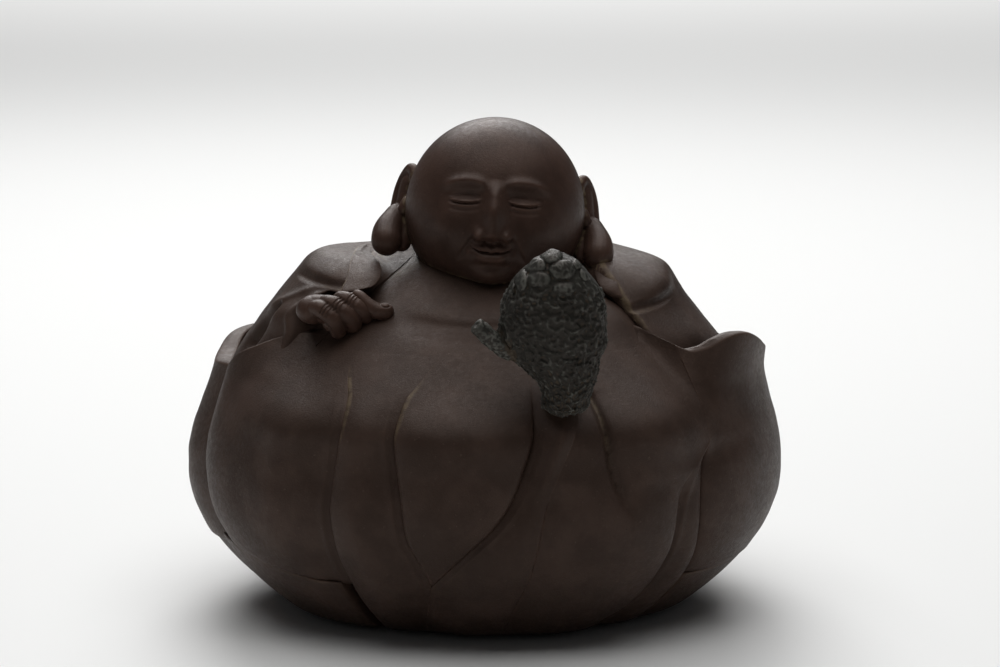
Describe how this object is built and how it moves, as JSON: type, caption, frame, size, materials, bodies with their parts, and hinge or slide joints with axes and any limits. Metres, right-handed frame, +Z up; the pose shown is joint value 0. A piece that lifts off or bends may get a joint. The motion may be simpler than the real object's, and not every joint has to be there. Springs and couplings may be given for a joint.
{
  "type": "laughing buddha statue",
  "caption": "Unglazed dark brown clay figurine of a bald, stout monk sitting in a lotus, with a piece of dark clay in front",
  "frame": {"origin": "middle of the overall box in X and Y, at the plane of the foot ring on the table", "axes": "+Z up; the figure looks along -Y; +X is at the right of a viewer who faces the figure"},
  "size_m": [0.0994, 0.0938, 0.0812],
  "materials": {
    "body_clay": "matte, unglazed, fine-grained stoneware",
    "skin_clay": "unglazed stoneware, slightly burnished by handling",
    "dark_clay": "rough, matte, grey-green clay"
  },
  "bodies": {
    "root": {"body_back": "body_clay", "body_front": "body_clay", "dark_piece": "dark_clay", "dark_stub": "dark_clay", "ear_left": "skin_clay", "ear_right": "skin_clay", "foot_disc": "body_clay", "hand_right": "skin_clay", "head": "skin_clay", "lapel_left": "body_clay", "lapel_right": "body_clay", "petal_back_left": "body_clay", "petal_back_left_inner": "body_clay", "petal_back_right": "body_clay", "petal_back_right_inner": "body_clay", "petal_front": "body_clay", "petal_left": "body_clay", "petal_left_back": "body_clay", "petal_left_front": "body_clay", "petal_right": "body_clay", "petal_right_front": "body_clay", "petal_right_sliver": "body_clay", "petal_stem": "body_clay", "robe_back": "body_clay", "sleeve_left": "body_clay", "sleeve_right": "body_clay", "thumb_right": "skin_clay", "under_petal_back": "body_clay", "under_petal_back_left": "body_clay", "under_petal_back_right": "body_clay", "under_petal_left": "body_clay", "under_petal_left_back": "body_clay", "under_petal_right": "body_clay"}
  },
  "joints": []
}
